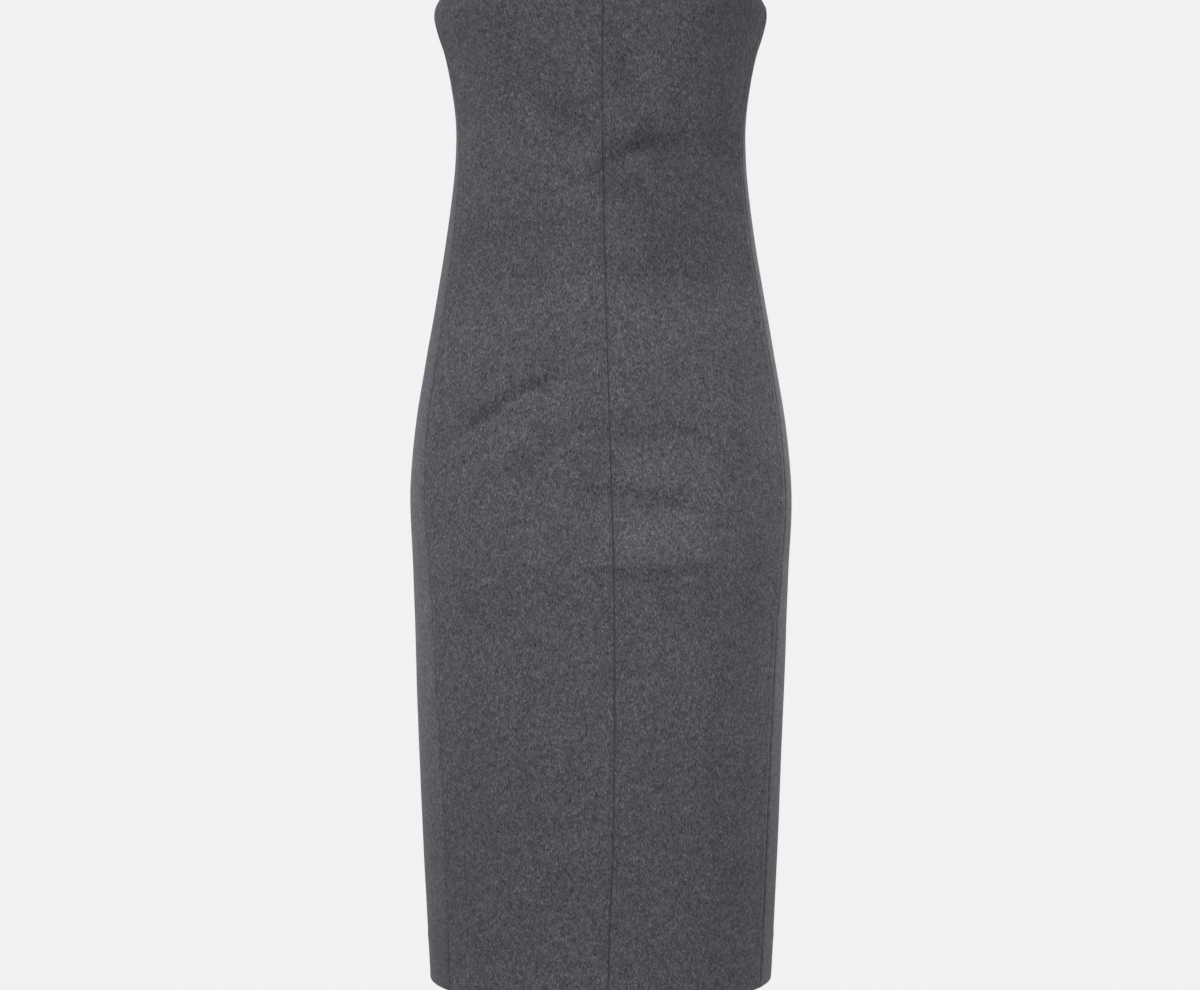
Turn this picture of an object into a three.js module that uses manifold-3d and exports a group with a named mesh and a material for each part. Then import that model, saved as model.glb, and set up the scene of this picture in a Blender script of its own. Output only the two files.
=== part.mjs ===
// A strapless column dress in dark grey wool flannel, worn: a hollow tube of four panels with open
// top and hem, a centre front seam, two side seams and a concealed zip in the centre back.
//
// Millimetres, +Z up. The front faces -Y and the wearer's left is +X. The origin is the middle of
// the top opening at underarm level, where the wearer's chest holds the dress up.
//
// Going round the body is measured as an angle in degrees: 0 at the centre front, +90 at the
// wearer's left side, -90 at the right side, 180 at the centre back.

import * as THREE from 'three';
import Module from 'manifold-3d';
import { mergeVertices } from 'three/addons/utils/BufferGeometryUtils.js';

// ---- driving dimensions ----

const CLOTH = 1.8; // wall of one layer of wool flannel
const SEAM_GAP = 0.3; // clear space between neighbouring pieces
const HEM_LEVEL = -884; // the hem, below the underarm level
const FRONT_RISE = 42; // top edge at the centre front, above the underarm level
const BACK_DROP = 26; // top edge at the centre back, below the underarm level

const HEM_TURN = 40; // cloth turned up inside the hem
const TOP_TURN = 30; // cloth turned down inside the top edge
const SEAM_TURN = 12; // seam allowance pressed open beside every seam
const FOLD_STEP = 1; // length over which a turned layer ends

const BUST_ANGLE = 36; // where the bust points stand, either side of the centre front
const BUST_SPREAD = 17; // how far round each bust point's fullness reaches

const ZIP_OPENING = 0.85; // how far each back panel stands off the zip at the top edge
const ZIP_OPENING_DEPTH = 46; // level below which the panels meet over the zip
const SLIT_LENGTH = 200; // walking slit above the hem at the centre back
const SLIT_OPENING = 2.2; // how far each side of the slit falls open at the hem

const ZIP_TAPE = { inner: 1.1, outer: 13, thickness: 1.0, top: -4, bottom: -500, gap: 0.45 };
const SLIDER = { below_edge: 9, width: 5.4, height: 9, depth: 2.4, corner: 1.5 };
const LOOP = { radius: 2.5, wire: 0.55, stand_off: 1.5, steps: 28, sides: 10 };
const PULL = { length: 20, head: 1.8, foot: 2.5, flare: 5.5, thickness: 0.9, eye: 0.85, eye_raise: 0.15 };

// One row for each level of the body. side: half the width; front and back: depth before and
// behind the line between the side points; bust: how far the bust points stand out of the oval.
const FORM = [
  { z: 60, side: 149, front: 102, back: 106, bust: 4 },
  { z: 20, side: 150.5, front: 105, back: 108, bust: 8 },
  { z: 0, side: 152, front: 105, back: 107, bust: 9 },
  { z: -15, side: 149.4, front: 104, back: 105.5, bust: 9 },
  { z: -41, side: 141.9, front: 100.5, back: 101, bust: 7 },
  { z: -68, side: 136.9, front: 96.5, back: 95, bust: 4 },
  { z: -96, side: 133.4, front: 93, back: 89.5, bust: 1.5 },
  { z: -119, side: 132.8, front: 91.5, back: 87, bust: 0 },
  { z: -151, side: 134.5, front: 91.5, back: 88.5, bust: 0 },
  { z: -206, side: 141.5, front: 91.5, back: 98.5, bust: 0 },
  { z: -262, side: 150.5, front: 93.5, back: 109, bust: 0 },
  { z: -317, side: 160, front: 99.5, back: 115.5, bust: 0 },
  { z: -372, side: 169, front: 106, back: 119, bust: 0 },
  { z: -427, side: 174.5, front: 112, back: 119, bust: 0 },
  { z: -455, side: 175, front: 114.5, back: 118, bust: 0 },
  { z: -510, side: 172.5, front: 118, back: 116.5, bust: 0 },
  { z: -593, side: 169.8, front: 119.5, back: 114.5, bust: 0 },
  { z: -704, side: 165.3, front: 120.5, back: 112.5, bust: 0 },
  { z: -814, side: 160.1, front: 122, back: 111, bust: 0 },
  { z: -900, side: 155.6, front: 123.5, back: 110, bust: 0 },
];

// Where the seams run at each level. front and back: how far the centre seams stray from the
// middle towards the wearer's left, in millimetres; left and right: side seams, in degrees.
// The skirt has turned a little on the body, so no seam falls quite straight.
const SEAMS = [
  { z: 0, front: 2, left: 84, right: 84, back: 0 },
  { z: -65, front: 1.8, left: 78.5, right: 78, back: 0 },
  { z: -130, front: 1.6, left: 73, right: 72, back: 0 },
  { z: -200, front: 2.8, left: 71, right: 68.5, back: 0 },
  { z: -270, front: 4.2, left: 70.5, right: 66.5, back: 0 },
  { z: -350, front: 6.4, left: 71.5, right: 65.4, back: 0 },
  { z: -420, front: 8.5, left: 71, right: 64.5, back: -0.5 },
  { z: -500, front: 10.7, left: 70, right: 62.2, back: -1.5 },
  { z: -575, front: 12, left: 67, right: 60.4, back: -3 },
  { z: -660, front: 12, left: 65.6, right: 58, back: -4.5 },
  { z: -750, front: 10.6, left: 65.2, right: 57.2, back: -5 },
  { z: -830, front: 7.6, left: 65, right: 57.4, back: -4 },
  { z: -885, front: 6, left: 65, right: 58.2, back: -3 },
];

// How finely the panels are faceted.
const ROWS = 27;
const FRONT_COLUMNS = 7;
const BACK_COLUMNS = 10;

// ---- the form of the worn dress ----

const radians = THREE.MathUtils.degToRad;
const degrees = THREE.MathUtils.radToDeg;
const smoothstep = THREE.MathUtils.smoothstep;

// A smooth curve through one column of a table whose rows go down from the top.
function column(table, key) {
  const slope = (i) => {
    const above = table[Math.max(i - 1, 0)];
    const below = table[Math.min(i + 1, table.length - 1)];
    return (below[key] - above[key]) / (below.z - above.z);
  };
  return (z) => {
    let i = 0;
    while (i < table.length - 2 && z < table[i + 1].z) i += 1;
    const span = table[i + 1].z - table[i].z;
    const t = (z - table[i].z) / span;
    const t2 = t * t;
    const t3 = t2 * t;
    return (2 * t3 - 3 * t2 + 1) * table[i][key] + (t3 - 2 * t2 + t) * span * slope(i)
      + (3 * t2 - 2 * t3) * table[i + 1][key] + (t3 - t2) * span * slope(i + 1);
  };
}

const sideAt = column(FORM, 'side');
const frontAt = column(FORM, 'front');
const backAt = column(FORM, 'back');
const bustAt = column(FORM, 'bust');

// The top edge slopes down from the front to the back.
function topEdge(angle) {
  const c = Math.cos(radians(angle));
  return (FRONT_RISE + BACK_DROP) / 2 * c + (FRONT_RISE - BACK_DROP) / 2 * c * c;
}

// A level runs from 0 at the top edge to HEM_LEVEL at the hem, and follows the sloping top edge.
function heightOf(level, angle) {
  return level + topEdge(angle) * (1 - level / HEM_LEVEL);
}

// The point on the outer face of the cloth.
function outerPoint(angle, level) {
  const z = heightOf(level, angle);
  const around = radians(angle);
  const c = Math.cos(around);
  const depth = c > 0 ? frontAt(z) : backAt(z);
  const turn = Math.abs(THREE.MathUtils.euclideanModulo(angle + 180, 360) - 180);
  const bust = bustAt(z) * Math.exp(-(((turn - BUST_ANGLE) / BUST_SPREAD) ** 2));
  return new THREE.Vector3(sideAt(z) * Math.sin(around), -depth * c - bust, z);
}

const NUDGE = 0.05;

// Rate of change of the outer face for one degree round the body.
function acrossAt(angle, level) {
  const ahead = outerPoint(angle + NUDGE, level);
  return ahead.sub(outerPoint(angle - NUDGE, level)).divideScalar(2 * NUDGE);
}

// The direction straight out of the cloth.
function outwardAt(angle, level) {
  const down = outerPoint(angle, level - NUDGE).sub(outerPoint(angle, level + NUDGE));
  return down.cross(acrossAt(angle, level)).normalize();
}

// A point a given depth inside the outer face.
function layerPoint(angle, level, depth) {
  return outerPoint(angle, level).addScaledVector(outwardAt(angle, level), -depth);
}

const frontSeamAt = column(SEAMS, 'front');
const leftSeamAt = column(SEAMS, 'left');
const rightSeamAt = column(SEAMS, 'right');
const backSeamAt = column(SEAMS, 'back');

const frontSeam = (level) => degrees(Math.asin(frontSeamAt(level) / sideAt(level)));
const leftSeam = (level) => leftSeamAt(level);
const rightSeam = (level) => -rightSeamAt(level);
const backSeam = (level) => 180 - degrees(Math.asin(backSeamAt(level) / sideAt(level)));

// Half the gap at a plain seam, measured level, so a little more where a seam slants; and at the
// centre back, which opens over the slider and again at the slit.
const plainGap = () => SEAM_GAP * 0.6;
function backGap(level) {
  const zip = ZIP_OPENING * (1 - smoothstep(-level, 0, ZIP_OPENING_DEPTH));
  const slit = SLIT_OPENING * smoothstep(level, HEM_LEVEL, HEM_LEVEL + SLIT_LENGTH);
  return SEAM_GAP / 2 + zip + SLIT_OPENING - slit;
}

// ---- closed walls from a grid of points ----

// outer and inner are functions of (row, col); rows run down and cols run towards +angle.
function wallGeometry(rows, cols, outer, inner) {
  const positions = [];
  const faces = [];
  const width = cols + 1;
  const layer = (rows + 1) * width;
  for (const face of [outer, inner]) {
    for (let row = 0; row <= rows; row += 1) {
      for (let col = 0; col <= cols; col += 1) {
        positions.push(...face(row, col).toArray());
      }
    }
  }
  const quad = (a, b, c, d) => faces.push(a, b, c, a, c, d);
  for (let row = 0; row < rows; row += 1) {
    for (let col = 0; col < cols; col += 1) {
      const a = row * width + col;
      quad(a, a + width, a + width + 1, a + 1);
      quad(layer + a, layer + a + 1, layer + a + width + 1, layer + a + width);
    }
  }
  for (let col = 0; col < cols; col += 1) {
    const hem = rows * width + col;
    quad(col, col + 1, layer + col + 1, layer + col);
    quad(hem + 1, hem, layer + hem, layer + hem + 1);
  }
  for (let row = 0; row < rows; row += 1) {
    const start = row * width;
    const end = start + cols;
    quad(start + width, start, layer + start, layer + start + width);
    quad(end, end + width, layer + end + width, layer + end);
  }
  const geometry = new THREE.BufferGeometry();
  geometry.setAttribute('position', new THREE.Float32BufferAttribute(positions, 3));
  geometry.setIndex(faces);
  geometry.computeVertexNormals();
  return geometry;
}

// ---- the four panels ----

// Levels of the rows: the two turned edges keep a row on each side of where they end.
const bodyTop = -TOP_TURN - FOLD_STEP;
const bodyHem = HEM_LEVEL + HEM_TURN + FOLD_STEP;
const LEVELS = [0, -TOP_TURN];
for (let i = 0; i <= ROWS; i += 1) {
  LEVELS.push(bodyTop + (bodyHem - bodyTop) * i / ROWS);
}
LEVELS.push(HEM_LEVEL + HEM_TURN, HEM_LEVEL);

// A panel between two seams. Its edges are turned in on all four sides, so it is two layers there.
function panelGeometry(start, startGap, end, endGap, columns) {
  const last = columns + 4;
  const place = (row, col) => {
    const level = LEVELS[row];
    const perDegree = (angle) => acrossAt(angle, level).length();
    const first = start(level) + startGap(level) / perDegree(start(level));
    const final = end(level) - endGap(level) / perDegree(end(level));
    const turn = SEAM_TURN + FOLD_STEP;
    const bodyStart = first + turn / perDegree(first);
    const bodyEnd = final - turn / perDegree(final);
    if (col === 0) return first;
    if (col === 1) return first + SEAM_TURN / perDegree(first);
    if (col === last) return final;
    if (col === last - 1) return final - SEAM_TURN / perDegree(final);
    return bodyStart + (bodyEnd - bodyStart) * (col - 2) / columns;
  };
  const turned = (row, col) => row < 2 || row > LEVELS.length - 3 || col < 2 || col > last - 2;
  const outer = (row, col) => outerPoint(place(row, col), LEVELS[row]);
  const wall = (row, col) => (turned(row, col) ? 2 * CLOTH : CLOTH);
  const inner = (row, col) => layerPoint(place(row, col), LEVELS[row], wall(row, col));
  return wallGeometry(LEVELS.length - 1, last, outer, inner);
}

// ---- the concealed zip ----

// The tapes bend at the panels' own levels, so that they lie evenly on the turned edges.
const TAPE_LEVELS = [ZIP_TAPE.top, ...LEVELS.filter((z) => z < ZIP_TAPE.top && z > ZIP_TAPE.bottom)];

// side is +1 for the wearer's left tape and -1 for the right one.
function tapeGeometry(side) {
  const level = (row) => TAPE_LEVELS[row];
  const angle = (row, col) => {
    const middle = backSeam(level(row));
    const edges = [ZIP_TAPE.inner, (ZIP_TAPE.inner + ZIP_TAPE.outer) / 2, ZIP_TAPE.outer];
    const reach = side > 0 ? -edges[2 - col] : edges[col];
    return middle + reach / acrossAt(middle, level(row)).length();
  };
  const depth = 2 * CLOTH + ZIP_TAPE.gap;
  const outer = (row, col) => layerPoint(angle(row, col), level(row), depth);
  const inner = (row, col) => layerPoint(angle(row, col), level(row), depth + ZIP_TAPE.thickness);
  return wallGeometry(TAPE_LEVELS.length - 1, 2, outer, inner);
}

// The slider's own frame: the origin is the middle of its loop, +Y away from the cloth.
const sliderLevel = -SLIDER.below_edge;
const sliderCloth = outerPoint(180, sliderLevel);
const sliderOutward = outwardAt(180, sliderLevel);
const sliderTilt = Math.atan2(sliderOutward.z, sliderOutward.y);
const loopCentre = sliderCloth.clone().addScaledVector(sliderOutward, LOOP.stand_off);

const wasm = await Module();
wasm.setup();
const MERGE = 1e-4; // corners closer than this are one

function solidOf(geometry) {
  const bare = geometry.clone();
  bare.deleteAttribute('normal');
  bare.deleteAttribute('uv');
  const merged = mergeVertices(bare, MERGE);
  return new wasm.Manifold(new wasm.Mesh({
    numProp: 3,
    vertProperties: new Float32Array(merged.attributes.position.array),
    triVerts: new Uint32Array(merged.index.array),
  }));
}

function geometryOf(solid) {
  const mesh = solid.getMesh();
  const geometry = new THREE.BufferGeometry();
  geometry.setAttribute('position', new THREE.BufferAttribute(new Float32Array(mesh.vertProperties), 3));
  geometry.setIndex(new THREE.BufferAttribute(new Uint32Array(mesh.triVerts), 1));
  geometry.computeVertexNormals();
  return geometry;
}

function roundedRectangle(width, height, corner) {
  const x = width / 2;
  const y = height / 2;
  const shape = new THREE.Shape();
  shape.moveTo(-x + corner, -y);
  shape.lineTo(x - corner, -y);
  shape.absarc(x - corner, -y + corner, corner, -Math.PI / 2, 0);
  shape.lineTo(x, y - corner);
  shape.absarc(x - corner, y - corner, corner, 0, Math.PI / 2);
  shape.lineTo(-x + corner, y);
  shape.absarc(-x + corner, y - corner, corner, Math.PI / 2, Math.PI);
  shape.lineTo(-x, -y + corner);
  shape.absarc(-x + corner, -y + corner, corner, Math.PI, 1.5 * Math.PI);
  return shape;
}

// The slider's body runs on the inside of the tapes, and its loop comes out between the panels.
function sliderGeometry() {
  const bodyFace = LOOP.stand_off + 2 * CLOTH + 2 * ZIP_TAPE.gap + ZIP_TAPE.thickness;
  const plate = new THREE.ExtrudeGeometry(
    roundedRectangle(SLIDER.width, SLIDER.height, SLIDER.corner),
    { depth: SLIDER.depth, bevelEnabled: false, curveSegments: 4 },
  );
  plate.rotateX(Math.PI / 2);
  plate.translate(0, -bodyFace, 0);

  const root = -bodyFace - SLIDER.depth / 2;
  const onArc = (turn) => new THREE.Vector3(0, LOOP.radius * Math.cos(turn), LOOP.radius * Math.sin(turn));
  const arcSteps = 12;
  const points = [new THREE.Vector3(0, root, -LOOP.radius)];
  for (let i = 0; i <= arcSteps; i += 1) {
    points.push(onArc(Math.PI * (i / arcSteps - 0.5)));
  }
  points.push(new THREE.Vector3(0, root, LOOP.radius));
  const route = new THREE.CurvePath();
  for (let i = 0; i < points.length - 1; i += 1) {
    route.add(new THREE.LineCurve3(points[i], points[i + 1]));
  }
  const section = new THREE.Shape();
  section.absarc(0, 0, LOOP.wire, 0, 2 * Math.PI);
  const wire = new THREE.ExtrudeGeometry(
    section,
    { steps: LOOP.steps, extrudePath: route, curveSegments: LOOP.sides / 2 },
  );
  return geometryOf(solidOf(plate).add(solidOf(wire)));
}

// A drop-shaped tab with an eye round the loop. It hangs down from the middle of the loop.
function pullGeometry() {
  const eyeLevel = -LOOP.radius;
  const headLevel = eyeLevel - PULL.eye_raise;
  const footLevel = headLevel + PULL.head - PULL.length + PULL.foot;
  const shape = new THREE.Shape();
  shape.moveTo(PULL.head, headLevel);
  shape.absarc(0, headLevel, PULL.head, 0, Math.PI);
  shape.bezierCurveTo(
    -PULL.head, headLevel - PULL.flare, -PULL.foot, footLevel + PULL.flare, -PULL.foot, footLevel,
  );
  shape.absarc(0, footLevel, PULL.foot, Math.PI, 2 * Math.PI);
  shape.bezierCurveTo(
    PULL.foot, footLevel + PULL.flare, PULL.head, headLevel - PULL.flare, PULL.head, headLevel,
  );
  const eye = new THREE.Path();
  eye.absarc(0, eyeLevel, PULL.eye, 0, 2 * Math.PI, true);
  shape.holes.push(eye);
  const tab = new THREE.ExtrudeGeometry(
    shape,
    { depth: PULL.thickness, bevelEnabled: false, curveSegments: 6 },
  );
  tab.rotateX(Math.PI / 2);
  tab.translate(0, PULL.thickness / 2, 0);
  return tab;
}

// ---- the dress ----

const WOOL = { color: 0x52525a, roughness: 0.95, metalness: 0 };
const TAPE = { color: 0x37373b, roughness: 0.85, metalness: 0 };
const ENAMEL = { color: 0x45454a, roughness: 0.4, metalness: 0.6 };

const dress = new THREE.Group();

function add(name, geometry, finish) {
  const mesh = new THREE.Mesh(geometry, new THREE.MeshStandardMaterial(finish));
  mesh.name = name;
  dress.add(mesh);
  return mesh;
}

// The same seam reached the other way round, for the panel that starts at the centre back.
const fromBehind = (seam) => (level) => seam(level) - 360;

const panels = {
  front_left_panel: [frontSeam, plainGap, leftSeam, plainGap, FRONT_COLUMNS],
  front_right_panel: [rightSeam, plainGap, frontSeam, plainGap, FRONT_COLUMNS],
  back_left_panel: [leftSeam, plainGap, backSeam, backGap, BACK_COLUMNS],
  back_right_panel: [fromBehind(backSeam), backGap, rightSeam, plainGap, BACK_COLUMNS],
};
for (const [name, cut] of Object.entries(panels)) {
  add(name, panelGeometry(...cut), WOOL);
}
add('zip_tape_left', tapeGeometry(1), TAPE);
add('zip_tape_right', tapeGeometry(-1), TAPE);

const slider = add('zip_slider', sliderGeometry(), ENAMEL);
slider.position.copy(loopCentre);
slider.rotation.x = sliderTilt;

const pull = add('zip_pull', pullGeometry(), ENAMEL);
pull.position.copy(loopCentre);

export default dress;
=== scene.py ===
import math

import bpy
import numpy as np
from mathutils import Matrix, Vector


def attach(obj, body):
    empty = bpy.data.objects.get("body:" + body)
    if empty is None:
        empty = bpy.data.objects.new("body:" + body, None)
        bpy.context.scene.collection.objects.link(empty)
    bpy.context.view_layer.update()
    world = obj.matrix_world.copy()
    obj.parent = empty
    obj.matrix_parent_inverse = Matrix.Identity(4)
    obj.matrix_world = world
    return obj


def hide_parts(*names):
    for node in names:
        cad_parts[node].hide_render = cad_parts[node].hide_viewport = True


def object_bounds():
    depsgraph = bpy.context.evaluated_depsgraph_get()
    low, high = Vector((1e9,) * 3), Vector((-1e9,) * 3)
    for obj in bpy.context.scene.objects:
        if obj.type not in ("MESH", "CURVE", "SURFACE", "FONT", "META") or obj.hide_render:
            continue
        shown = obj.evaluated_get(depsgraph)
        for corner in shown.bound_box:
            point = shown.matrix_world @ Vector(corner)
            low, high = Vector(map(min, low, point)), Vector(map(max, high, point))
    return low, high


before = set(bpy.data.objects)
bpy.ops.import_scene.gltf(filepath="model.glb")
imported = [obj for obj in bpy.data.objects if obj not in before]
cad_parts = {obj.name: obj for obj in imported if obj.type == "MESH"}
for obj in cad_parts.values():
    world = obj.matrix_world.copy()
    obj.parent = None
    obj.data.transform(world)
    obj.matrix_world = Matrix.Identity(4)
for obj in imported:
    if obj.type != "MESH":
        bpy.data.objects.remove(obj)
cad_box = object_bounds()

# ---- Camera ----
# A long lens two metres in front of the dress, level, at the height of the middle of the skirt,
# so close that the top edge and the front of the hem run out of its frame.
VIEW_DISTANCE = 2.0
VIEW_WIDTH = 1.1052
VIEW_HEIGHT = -0.4412
VIEW_ASIDE = -0.0006
SENSOR = 36.0

bpy.ops.object.camera_add(location=(VIEW_ASIDE, -VIEW_DISTANCE, VIEW_HEIGHT), rotation=(math.pi / 2, 0, 0))
camera = bpy.context.object
camera.data.sensor_width = SENSOR
camera.data.lens = SENSOR * VIEW_DISTANCE / VIEW_WIDTH
bpy.context.scene.camera = camera

# ---- The four panels: the form of the worn dress ----
# Two front and two back panels of wool flannel, sewn into a tube that is shaped by its seams.
# Each is one closed skin: the right side and the wrong side of the cloth meet in its folds.
MM = 0.001
CLOTH = 1.8  # one layer of flannel; every measure of the cloth is in millimetres
HEM_LEVEL = -884.0
FRONT_RISE = 42.0
BACK_DROP = 26.0
HEM_TURN = 40.0
TOP_TURN = 30.0
SEAM_TURN = 12.0
BUST_ANGLE = 36.0
BUST_SPREAD = 17.0

# height, half width, depth in front, depth behind, fullness of the bust
FORM = np.array([
    (60, 149, 102, 106, 4),
    (20, 150.5, 105, 108, 8),
    (0, 152, 105, 107, 9),
    (-15, 149.4, 104, 105.5, 9),
    (-41, 141.9, 100.5, 101, 7),
    (-68, 136.9, 96.5, 95, 4),
    (-96, 133.4, 93, 89.5, 1.5),
    (-119, 132.8, 91.5, 87, 0),
    (-151, 134.5, 91.5, 88.5, 0),
    (-206, 141.5, 91.5, 98.5, 0),
    (-262, 150.5, 93.5, 109, 0),
    (-317, 160, 99.5, 115.5, 0),
    (-372, 169, 106, 119, 0),
    (-427, 174.5, 112, 119, 0),
    (-455, 175, 114.5, 118, 0),
    (-510, 172.5, 118, 116.5, 0),
    (-593, 169.8, 119.5, 114.5, 0),
    (-704, 165.3, 120.5, 112.5, 0),
    (-814, 160.1, 122, 111, 0),
    (-900, 155.6, 123.5, 110, 0),
], float)

# height; how far the centre front seam strays to the wearer's left; the left and right side
# seams, in degrees from the centre front; how far the centre back seam strays
SEAMS = np.array([
    (0, 2, 84, 84, 0),
    (-65, 1.8, 78.5, 78, 0),
    (-130, 1.6, 73, 72, 0),
    (-200, 2.8, 71, 68.5, 0),
    (-270, 4.2, 70.5, 66.5, 0),
    (-350, 6.4, 71.5, 65.4, 0),
    (-420, 8.5, 71, 64.5, -0.5),
    (-500, 10.7, 70, 62.2, -1.5),
    (-575, 12, 67, 60.4, -3),
    (-660, 12, 65.6, 58, -4.5),
    (-750, 10.6, 65.2, 57.2, -5),
    (-830, 7.6, 65, 57.4, -4),
    (-885, 6, 65, 58.2, -3),
], float)

# the columns of the table of the form, after the height
HALF_WIDTH, IN_FRONT, BEHIND, FULLNESS = 1, 2, 3, 4
# the columns of the table of the seams, after the height
FRONT_STRAY, LEFT_SIDE, RIGHT_SIDE, BACK_STRAY = 1, 2, 3, 4
NUDGE = 0.05  # degrees or millimetres, to see which way the cloth runs at a point


def column(table, number, height):
    """A smooth curve through one column of a table, read at these heights."""
    z, value = table[:, 0], table[:, number]
    last = len(z) - 1
    up, down = np.maximum(np.arange(last + 1) - 1, 0), np.minimum(np.arange(last + 1) + 1, last)
    slope = (value[down] - value[up]) / (z[down] - z[up])
    i = np.clip(np.searchsorted(-z, -height, side="right") - 1, 0, last - 1)
    span = z[i + 1] - z[i]
    t = (height - z[i]) / span
    return (
        (2 * t**3 - 3 * t**2 + 1) * value[i] + (t**3 - 2 * t**2 + t) * span * slope[i]
        + (3 * t**2 - 2 * t**3) * value[i + 1] + (t**3 - t**2) * span * slope[i + 1]
    )


def bell(value, middle, spread):
    """1 at the middle, falling softly to 0 on both sides."""
    return np.exp(-(((value - middle) / spread) ** 2))


def smooth_step(value, low, high):
    """0 up to the low value and 1 from the high one, with a soft change between them."""
    t = np.clip((value - low) / (high - low), 0, 1)
    return t * t * (3 - 2 * t)


def outer_point(angle, level):
    """Where the right side of the cloth is, this many degrees round and this far below the top edge."""
    c, s = np.cos(np.radians(angle)), np.sin(np.radians(angle))
    edge = (FRONT_RISE + BACK_DROP) / 2 * c + (FRONT_RISE - BACK_DROP) / 2 * c * c
    z = level + edge * (1 - level / HEM_LEVEL)
    depth = np.where(c > 0, column(FORM, IN_FRONT, z), column(FORM, BEHIND, z))
    turn = np.abs((angle + 180) % 360 - 180)
    bust = column(FORM, FULLNESS, z) * bell(turn, BUST_ANGLE, BUST_SPREAD)
    return np.stack([column(FORM, HALF_WIDTH, z) * s, -depth * c - bust, z], axis=-1)


def outward(angle, level):
    """The direction straight out of the cloth."""
    across = outer_point(angle + NUDGE, level) - outer_point(angle - NUDGE, level)
    down = outer_point(angle, level - NUDGE) - outer_point(angle, level + NUDGE)
    normal = np.cross(down, across)
    return normal / np.linalg.norm(normal, axis=-1, keepdims=True)


def per_degree(angle, level):
    """Millimetres of cloth in one degree round the body."""
    step = outer_point(angle + NUDGE, level) - outer_point(angle - NUDGE, level)
    return np.linalg.norm(step, axis=-1) / (2 * NUDGE)


def stray(number, level):
    """How many degrees a centre seam lies from the middle of the dress."""
    return np.degrees(np.arcsin(column(SEAMS, number, level) / column(FORM, HALF_WIDTH, level)))


def front_seam(level):
    return stray(FRONT_STRAY, level)


def left_seam(level):
    return column(SEAMS, LEFT_SIDE, level)


def right_seam(level):
    return -column(SEAMS, RIGHT_SIDE, level)


def back_seam(level):
    return 180 - stray(BACK_STRAY, level)


# ---- The four panels: creases ----
# Soft troughs and ridges where the flannel is drawn over the hip and eased in at the waist.
# across and height of one end, across and height of the other, half width above and below the
# line, rise out of the cloth; a trough with a narrow upper side is a fold that hangs over it
FRONT_CREASES = [
    (-142, -397, -108, -374, 5, 16, -2.6),
    (-108, -374, -60, -345, 5, 20, -4.8),
    (-60, -345, -34, -338, 7, 15, -2.4),
    (-104, -412, -40, -374, 12, 12, 2.0),
    (-124, -416, -88, -398, 4, 10, -2.4),
    (-84, -426, -14, -384, 14, 22, -3.8),
    (-20, -396, 50, -392, 20, 22, -3.8),
    (70, -386, 106, -401, 5, 14, -3.0),
    (2, -438, 72, -453, 9, 26, -4.4),
    (18, -504, 66, -503, 44, 9, 3.8),
    (-96, -476, -106, -530, 9, 14, 1.8),
    (-66, -500, -20, -512, 22, 7, 1.8),
    (14, -598, 52, -597, 4, 9, -1.8),
    (-78, -736, -14, -730, 5, 11, -1.3),
    (-142, -252, -14, -251, 60, 50, -2.4),
    (34, -254, 142, -257, 90, 70, -4.2),
    (4, -152, 47, -129, 15, 27, -6.2),
    (47, -129, 78, -122, 16, 27, -5.2),
    (78, -122, 122, -134, 16, 34, -3.8),
    (40, -154, 42, -236, 40, 14, 3.4),
    (22, -30, 25, -104, 8, 8, -2.6),
    (46, -68, 50, -106, 9, 9, 2.0),
    (-64, -94, -16, -122, 14, 18, -2.6),
    (-76, -92, -66, -116, 8, 8, 1.4),
    (-58, -116, -56, -170, 8, 12, 1.8),
    (-118, -214, -30, -224, 18, 24, -1.6),
    (-44, -800, -94, -858, 12, 20, -1.3),
    (24, -690, 66, -704, 10, 16, -1.1),
]
BACK_CREASES = [
    (-92, -150, -22, -163, 8, 22, -4.6),
    (20, -155, 90, -139, 8, 20, -4.2),
    (-74, -182, -14, -190, 7, 18, -3.0),
    (24, -190, 100, -178, 8, 20, -3.4),
    (-58, -122, -12, -129, 6, 14, -2.2),
    (32, -352, 122, -322, 8, 26, -5.0),
    (-126, -338, -38, -364, 7, 26, -5.2),
    (-90, -498, -16, -508, 5, 20, -3.4),
    (22, -494, 88, -484, 6, 22, -3.4),
    (-70, -640, -68, -820, 20, 24, 1.8),
    (62, -610, 70, -850, 24, 28, 2.0),
]
CREASE_SHARPNESS = 2.8  # how round the bottom of a crease is
CREASE_FALL = 1.2  # how fast it falls away beside its line
CREASE_END = 4.0  # how far before its end it starts to run out
CREASE_RUN_OUT = 8.0
SWELL_SEED = 7
SWELL_CELLS = 64
SWELL_START = (32, 40)  # the cell at the middle of the top edge
BROAD_SWELL, BROAD_CELL = 0.5, 95
FINE_SWELL, FINE_CELL = 0.16, 31


def crease(across, height, creases):
    """How far the creases lift or sink the cloth at these points."""
    rise = np.zeros_like(across)
    for x1, z1, x2, z2, above, below, lift in creases:
        length = math.hypot(x2 - x1, z2 - z1)
        along = ((across - x1) * (x2 - x1) + (height - z1) * (z2 - z1)) / length
        beside = ((across - x1) * (z2 - z1) - (height - z1) * (x2 - x1)) / length
        width = np.where(beside < 0, above, below)
        off = np.sqrt(beside**2 + CREASE_SHARPNESS**2) - CREASE_SHARPNESS
        past = np.maximum(np.abs(along - length / 2) - length / 2 + CREASE_END, 0)
        past = past / (CREASE_RUN_OUT + width / 2)
        rise += lift * np.exp(-off / width * CREASE_FALL - past**2)
    return rise


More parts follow.
